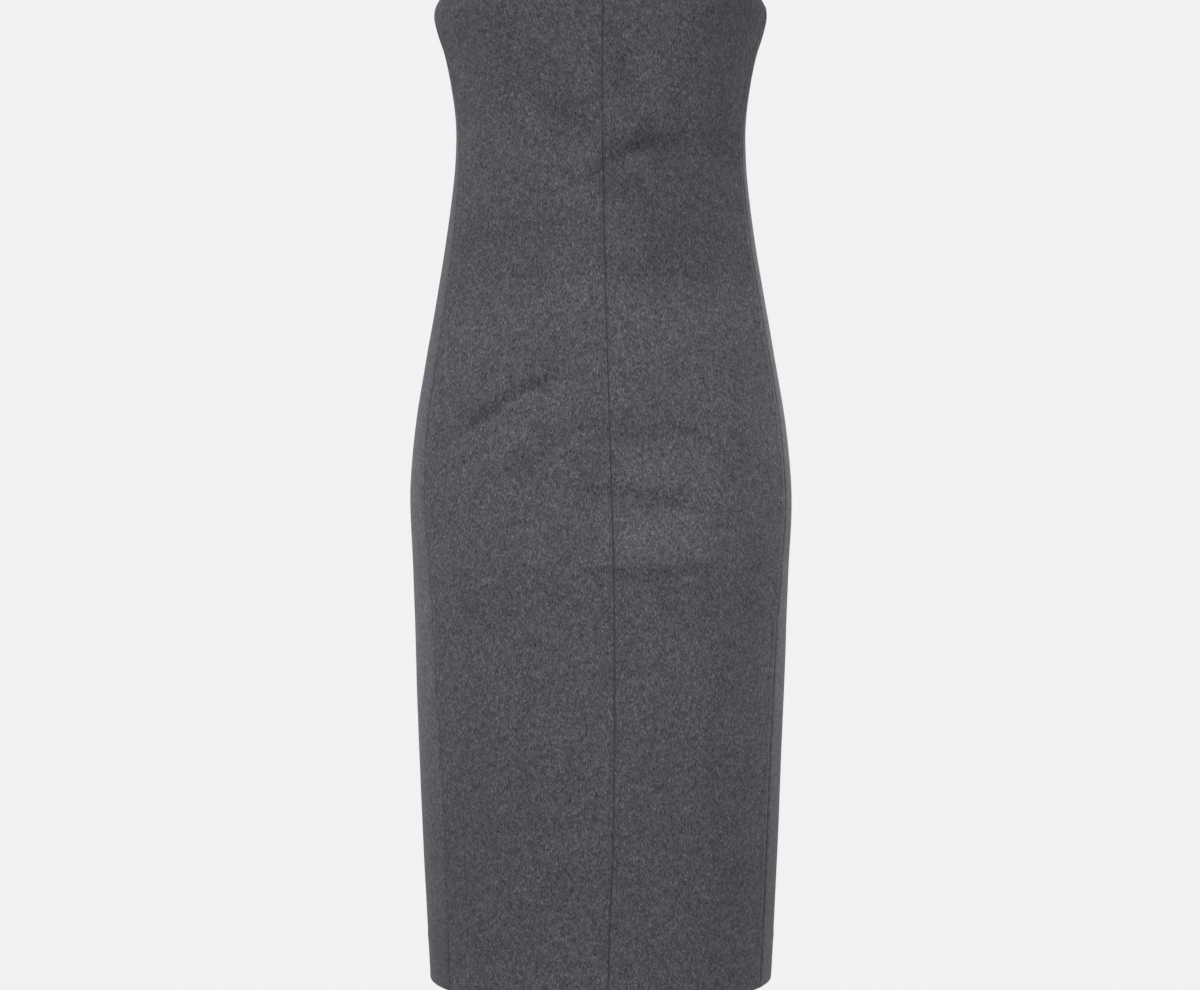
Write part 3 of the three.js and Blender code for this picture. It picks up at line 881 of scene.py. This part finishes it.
# ---- The concealed zip: coils and bottom stop ----
# Each row of teeth is one nylon filament wound into a flat coil and sewn along the tape's edge.
# The two coils mesh below the slider, and a small metal clamp holds their lower ends.
COIL_PITCH = 1.1
COIL_WIRE = 0.26
COIL_HALF_WIDTH = 0.98
COIL_HALF_DEPTH = 0.58
COIL_ASIDE = 0.70  # from the seam to the middle of the coil
COIL_DEPTH = 5.75
COIL_TOP = -11.4
COIL_BOTTOM = -471.0
STOP_SIZE = (3.9, 1.9, 4.2)
STOP_OVER_END = 0.5  # its middle above the lower end of the coils
STOP_EDGE = 0.45
SMOOTH_UP_TO = math.radians(35)  # sharper edges of the hard pieces stay crisp
NYLON_DARK = (0.034, 0.034, 0.039, 1)
NYLON_PALE = (0.062, 0.062, 0.070, 1)
LACQUER_DARK = (0.046, 0.046, 0.052, 1)
LACQUER_PALE = (0.066, 0.066, 0.074, 1)
BARE_ZINC = (0.24, 0.24, 0.24, 1)
BARE_ZINC_METAL = 0.9
SHARP_EDGE = math.radians(50)  # the turn at which an edge wears fully


def filament():
    """Nylon filament: dark, smooth and faintly glossy, with slight changes of dye."""
    made, tree, shader = plain_finish("zip_filament", roughness=0.34, specular=0.45)
    place = node(tree, "ShaderNodeTexCoord", (-900, 0)).outputs["Object"]
    dye = node(tree, "ShaderNodeTexNoise", (-600, 0), Vector=place, Scale=420.0, Detail=3.0)
    feed(tree, shader["Base Color"], blend(tree, (-300, 0), dye, NYLON_DARK, NYLON_PALE))
    feed(tree, shader["Roughness"], ranged(tree, (-300, -200), dye, 0.26, 0.44))
    return made


def enamel():
    """Grey lacquer baked on a zinc casting, rubbed through to the metal along its edges."""
    made, tree, shader = plain_finish("zip_lacquer", roughness=0.38, specular=0.5)
    place = node(tree, "ShaderNodeTexCoord", (-1100, 0)).outputs["Object"]
    edge = node(tree, "ShaderNodeAttribute", (-1100, 300), attribute_name="edge").outputs["Fac"]
    patchy = node(tree, "ShaderNodeTexNoise", (-800, 100), Vector=place, Scale=1400.0, Detail=4.0)
    fine = node(tree, "ShaderNodeTexNoise", (-800, -200), Vector=place, Scale=5200.0, Detail=2.0)
    bare = node(tree, "ShaderNodeMapRange", (-400, 200), times(tree, (-600, 200), edge, patchy), 0.46, 0.95)
    coat = blend(tree, (-400, 0), patchy, LACQUER_DARK, LACQUER_PALE)
    bump = node(tree, "ShaderNodeBump", (-200, -400), Strength=0.25, Distance=0.03 * MM, Height=fine)
    feed(tree, shader["Base Color"], blend(tree, (-200, 0), bare, coat, BARE_ZINC))
    feed(tree, shader["Roughness"], ranged(tree, (-200, -200), fine, 0.30, 0.46))
    feed(tree, shader["Metallic"], times(tree, (-200, 200), bare, BARE_ZINC_METAL))
    feed(tree, shader["Normal"], bump)
    return made


def mark_edges(piece):
    """Notes at each point how sharply the surface turns there, for wear along the edges."""
    mesh = piece.data
    turn = np.zeros(len(mesh.vertices))
    facing = [[] for _ in mesh.vertices]
    for face in mesh.polygons:
        for index in face.vertices:
            facing[index].append(face.normal)
    for index, normals in enumerate(facing):
        turn[index] = max((a.angle(b) for a in normals for b in normals), default=0)
    noted = mesh.attributes.new("edge", "FLOAT", "POINT")
    noted.data.foreach_set("value", np.clip(turn / SHARP_EDGE, 0, 1))


def ring(name, points, radius, aside=0.0, level=0.0):
    """A ring of points that faces the back, this far aside of the middle and at this level."""
    bpy.ops.mesh.primitive_circle_add(
        vertices=points, radius=radius * MM,
        location=(aside * MM, 0, level * MM), rotation=(math.pi / 2, 0, 0),
    )
    return new_piece(name)


nylon = filament()
lacquer = enamel()

left_coil = ring("zip_coil_left", 5, COIL_WIRE, aside=COIL_HALF_WIDTH)
apply_modifier(
    left_coil, "SCREW", axis="Z", angle=2 * math.pi, screw_offset=-COIL_PITCH * MM,
    iterations=int((COIL_TOP - COIL_BOTTOM) / COIL_PITCH), steps=8, render_steps=8, use_smooth_shade=True,
)
edit_all(left_coil)
bpy.ops.mesh.remove_doubles(threshold=0.001 * MM)
bpy.ops.transform.resize(value=(1, COIL_HALF_DEPTH / COIL_HALF_WIDTH, 1), center_override=(0, 0, 0))
bpy.ops.transform.translate(value=(COIL_ASIDE * MM, -COIL_DEPTH * MM, COIL_TOP * MM))
bpy.ops.mesh.select_all(action="DESELECT")
bpy.ops.mesh.select_non_manifold()
bpy.ops.mesh.edge_face_add()
face_outwards()
right_coil = mirrored_copy(left_coil, "zip_coil_right", drop=COIL_PITCH / 2)

bpy.ops.mesh.primitive_cube_add(size=1, location=(0, -COIL_DEPTH * MM, (COIL_BOTTOM + STOP_OVER_END) * MM))
stop = new_piece("zip_bottom_stop", [side * MM for side in STOP_SIZE])
apply_modifier(stop, "BEVEL", width=STOP_EDGE * MM, segments=3, limit_method="ANGLE")
bpy.ops.object.shade_smooth_by_angle(angle=SMOOTH_UP_TO)

ZIP_PIECES = (
    (left_tape, weave, "zip_tape"),
    (right_tape, weave, "zip_tape"),
    (left_stitches, thread, "zip_tape"),
    (right_stitches, thread, "zip_tape"),
    (left_coil, nylon, "zip_tape"),
    (right_coil, nylon, "zip_tape"),
    (stop, lacquer, "zip_enamel"),
)
for piece, finish, slot in ZIP_PIECES:
    set_in_back_seam(piece)
    piece.data.materials.append(finish)
    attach(piece, "dress")
mark_edges(stop)
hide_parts("zip_tape_left")
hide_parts("zip_tape_right")

# ---- The concealed zip: slider ----
# A lacquered zinc casting that runs inside the tapes and closes the coils. Its wire loop comes
# out between the two folded edges and carries the pull.
SLIDER_BELOW_EDGE = 9.0
SLIDER_SIZE = (5.4, 2.4, 9.0)
SLIDER_CORNER = 1.5
SLIDER_FACE = 7.0  # from the middle of the loop to the near face of the casting
SLIDER_SOFT_EDGE = 0.16
CHANNEL_RIM, CHANNEL_DEPTH = 0.55, 0.7  # the channels for the coils, in its two sides
FACE_RIM, FACE_DEPTH = 0.7, 0.25  # the sunk panel of its inner face
LOOP_RADIUS = 2.5
LOOP_WIRE = 0.55
LOOP_STAND_OFF = 1.5
SQUARE_TO = 0.99  # how squarely a face has to look along an axis to be picked

slider_cloth = outer_point(180.0, -SLIDER_BELOW_EDGE)
slider_out = outward(180.0, -SLIDER_BELOW_EDGE)
slider_tilt = math.atan2(slider_out[2], slider_out[1])
loop_centre = [float(c) * MM for c in slider_cloth + slider_out * LOOP_STAND_OFF]


def pick(piece, kind, wanted):
    """In edit mode, selects the points, edges or faces that answer the question."""
    bpy.ops.object.mode_set(mode="EDIT")
    bpy.ops.mesh.select_mode(type=kind)
    bpy.ops.mesh.select_all(action="DESELECT")
    bpy.ops.object.mode_set(mode="OBJECT")
    mesh = piece.data
    for part in {"VERT": mesh.vertices, "EDGE": mesh.edges, "FACE": mesh.polygons}[kind]:
        part.select = bool(wanted(part))
    bpy.ops.object.mode_set(mode="EDIT")


def span(piece, edge):
    """The line from one end of an edge to the other, in millimetres."""
    first, second = (piece.data.vertices[i].co for i in edge.vertices)
    return (second - first) / MM


bpy.ops.mesh.primitive_cube_add(size=1, location=(0, -(SLIDER_FACE + SLIDER_SIZE[1] / 2) * MM, 0))
slider = new_piece("zip_slider_casting", [side * MM for side in SLIDER_SIZE])
pick(slider, "EDGE", lambda edge: abs(span(slider, edge).y) > SLIDER_SIZE[1] / 2)
bpy.ops.mesh.bevel(offset=SLIDER_CORNER * MM, segments=5)
pick(slider, "FACE", lambda face: abs(face.normal.x) > SQUARE_TO)
bpy.ops.mesh.inset(thickness=CHANNEL_RIM * MM, use_individual=True)
bpy.ops.mesh.extrude_region_shrink_fatten(TRANSFORM_OT_shrink_fatten={"value": -CHANNEL_DEPTH * MM})
pick(slider, "FACE", lambda face: face.normal.y < -SQUARE_TO)
bpy.ops.mesh.inset(thickness=FACE_RIM * MM)
bpy.ops.transform.translate(value=(0, FACE_DEPTH * MM, 0))
bpy.ops.object.mode_set(mode="OBJECT")
apply_modifier(
    slider, "BEVEL", width=SLIDER_SOFT_EDGE * MM, segments=3,
    limit_method="ANGLE", angle_limit=math.radians(40),
)

loop = ring("loop", 12, LOOP_WIRE, level=-LOOP_RADIUS)
edit_all(loop)
bpy.ops.mesh.spin(steps=20, angle=-math.pi, center=(0, 0, 0), axis=(1, 0, 0))
bpy.ops.mesh.select_all(action="DESELECT")
bpy.ops.mesh.select_mode(type="EDGE")
bpy.ops.mesh.select_non_manifold()
leg = SLIDER_FACE + SLIDER_SIZE[1] / 2
bpy.ops.mesh.extrude_region_move(TRANSFORM_OT_translate={"value": (0, -leg * MM, 0)})
bpy.ops.mesh.select_all(action="SELECT")
bpy.ops.mesh.fill_holes(sides=0)
face_outwards()
join(slider, loop)
bpy.ops.object.shade_smooth_by_angle(angle=SMOOTH_UP_TO)
slider.rotation_euler = (slider_tilt, 0, 0)
slider.location = loop_centre
fix_in_place(slider)
mark_edges(slider)
slider.data.materials.append(lacquer)
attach(slider, "dress")
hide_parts("zip_slider")

# ---- The concealed zip: pull ----
# A drop-shaped tab cast in zinc and lacquered: a thin web inside a rounded rim, with a second
# rim round the eye. The eye hangs on the slider's loop, so it swings freely on the wire.
PULL_LENGTH = 20.0
PULL_HEAD = 1.8  # radius of the end with the eye
PULL_FOOT = 2.5  # radius of the lower end
PULL_THICKNESS = 0.9
PULL_WEB = 0.4
PULL_RIM = 0.3  # half the width of the rim
PULL_EYE = 0.85
EYE_RIM = 0.22
EYE_RAISE = 0.15  # the eye's middle above the head's
HEAD_POINTS = 40
FLANK_POINTS = 9
FLANK_END = 0.02  # share of the flank at each end that stays on the round
FOOT_FROM = 0.1  # points at least this far below the head's middle go to the foot
eye_level = -LOOP_RADIUS
head_level = eye_level - EYE_RAISE
foot_level = head_level + PULL_HEAD - PULL_LENGTH + PULL_FOOT


def rounded_rim(outline, half_width):
    """A copy of an outline as a rounded bar as thick as the pull."""
    only(outline)
    bpy.ops.object.duplicate(linked=False)
    bpy.ops.object.convert(target="CURVE")
    bar = bpy.context.object
    bar.data.bevel_depth = half_width * MM
    bar.data.bevel_resolution = 3
    bpy.ops.object.convert(target="MESH")
    edit_all(bar)
    bpy.ops.mesh.remove_doubles(threshold=0.001 * MM)
    flatter = PULL_THICKNESS / (2 * half_width)
    bpy.ops.transform.resize(value=(1, flatter, 1), center_override=(0, 0, 0))
    face_outwards()
    mark_edges(bar)
    return bar


pull = ring("zip_pull_tab", HEAD_POINTS, PULL_HEAD - PULL_RIM, level=head_level)
pick(pull, "VERT", lambda point: point.co.z < (head_level - FOOT_FROM) * MM)
grown = (PULL_FOOT - PULL_RIM) / (PULL_HEAD - PULL_RIM)
bpy.ops.transform.resize(value=(grown, 1, grown), center_override=(0, 0, head_level * MM))
bpy.ops.transform.translate(value=(0, 0, (foot_level - head_level) * MM))
pick(pull, "EDGE", lambda edge: span(pull, edge).length > PULL_LENGTH / 2)
bpy.ops.mesh.subdivide(number_cuts=FLANK_POINTS)
bpy.ops.object.mode_set(mode="OBJECT")
for vertex in pull.data.vertices:
    down = (head_level - vertex.co.z / MM) / (head_level - foot_level)
    if FLANK_END < down < 1 - FLANK_END:
        flank = PULL_HEAD + (PULL_FOOT - PULL_HEAD) * smooth_step(down, 0, 1) - PULL_RIM
        vertex.co.x = math.copysign(flank * MM, vertex.co.x)
outer_rim = rounded_rim(pull, PULL_RIM)
eye = ring("eye", len(pull.data.vertices), PULL_EYE + EYE_RIM, level=eye_level)
eye_rim = rounded_rim(eye, EYE_RIM)
join(pull, eye)
edit_all(pull)
bpy.ops.mesh.bridge_edge_loops()
bpy.ops.mesh.select_all(action="SELECT")
bpy.ops.mesh.extrude_region_move(TRANSFORM_OT_translate={"value": (0, -PULL_WEB * MM, 0)})
bpy.ops.mesh.select_all(action="SELECT")
bpy.ops.transform.translate(value=(0, PULL_WEB / 2 * MM, 0))
face_outwards()
join(pull, outer_rim, eye_rim)
bpy.ops.object.shade_smooth_by_angle(angle=SMOOTH_UP_TO)
pull.location = loop_centre
fix_in_place(pull)
pull.data.materials.append(lacquer)
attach(pull, "pull")
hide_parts("zip_pull")

# ---- Floor and light ----
# A pale seamless studio: a wide matt floor below the hem that fades into the even surround, as
# a curved backdrop does, and soft lights.
FLOOR_DROP = 0.50  # below the hem; this section is in metres
FLOOR_RADIUS = 1.45
FLOOR_PLAIN = 0.4  # how far from its middle the floor starts to fade
FLOOR_FADED = 1.4
FLOOR_COLOUR = (0.82, 0.82, 0.82, 1)
SURROUND = 0.884
AMBIENT = 0.10
even_light = (SURROUND, SURROUND, SURROUND, 1)

bpy.ops.mesh.primitive_circle_add(
    vertices=96, radius=FLOOR_RADIUS, fill_type="NGON", location=(0, 0, cad_box[0].z - FLOOR_DROP)
)
floor = bpy.context.object
floor.name = "floor"
paint, cove, matt = plain_finish("studio_floor", roughness=0.9, specular=0.5)
matt["Base Color"].default_value = FLOOR_COLOUR
middle = node(cove, "ShaderNodeTexCoord", (-800, 200)).outputs["Object"]
from_middle = node(cove, "ShaderNodeVectorMath", (-600, 200), middle, operation="LENGTH")
faded = node(
    cove, "ShaderNodeMapRange", (-400, 200), from_middle, FLOOR_PLAIN, FLOOR_FADED,
    interpolation_type="SMOOTHSTEP",
)
fade = times(cove, (-200, 300), faded, node(cove, "ShaderNodeLightPath", (-400, 500)))
haze = node(cove, "ShaderNodeEmission", (-200, -300), Color=even_light)
blend_in = node(cove, "ShaderNodeMixShader", (100, 0), fade, cove.nodes["Principled BSDF"], haze)
feed(cove, cove.nodes["Material Output"].inputs["Surface"], blend_in)
floor.data.materials.append(paint)

world = bpy.data.worlds.new("studio")
bpy.context.scene.world = world
world.use_nodes = True
sky = world.node_tree
seen = sky.nodes["Background"]
seen.inputs["Color"].default_value = even_light
seen.inputs["Strength"].default_value = 1
lit = node(sky, "ShaderNodeBackground", (0, -200), Color=(1, 1, 1, 1), Strength=AMBIENT)
ray = node(sky, "ShaderNodeLightPath", (-200, 200))
choose = node(sky, "ShaderNodeMixShader", (200, 0), ray, lit, seen)
feed(sky, sky.nodes["World Output"].inputs["Surface"], choose)

# name, place, what it points at, size, power
LAMPS = [
    ("overhead", (-0.4, -1.3, 2.7), (0, 0, -0.35), 1.2, 79),
    ("front", (0.1, -2.05, -0.15), (0, 0, -0.34), 0.6, 17.9),
    ("left", (-0.82, 0.18, -0.42), (0, 0, -0.42), 0.35, 2.6),
    ("right", (0.82, 0.18, -0.36), (0, 0, -0.36), 0.35, 2.8),
    ("left_back", (-2.1, 1.7, -0.2), (0, 0, -0.55), 0.8, 14),
    ("right_back", (2.1, 1.7, -0.2), (0, 0, -0.55), 0.8, 12),
    ("rear", (0.4, 1.9, 2.2), (0, 0, -0.35), 1.2, 78),
]
for name, place, target, size, power in LAMPS:
    bpy.ops.object.light_add(type="AREA", location=place)
    lamp = bpy.context.object
    lamp.name = name
    lamp.data.shape = "SQUARE"
    lamp.data.size = size
    lamp.data.energy = power
    lamp.visible_camera = False
    aim = [t - p for t, p in zip(target, place)]
    lamp.rotation_euler = (
        math.atan2(math.hypot(aim[0], aim[1]), -aim[2]), 0, math.atan2(aim[1], aim[0]) - math.pi / 2
    )

bpy.context.scene.view_settings.view_transform = "Standard"
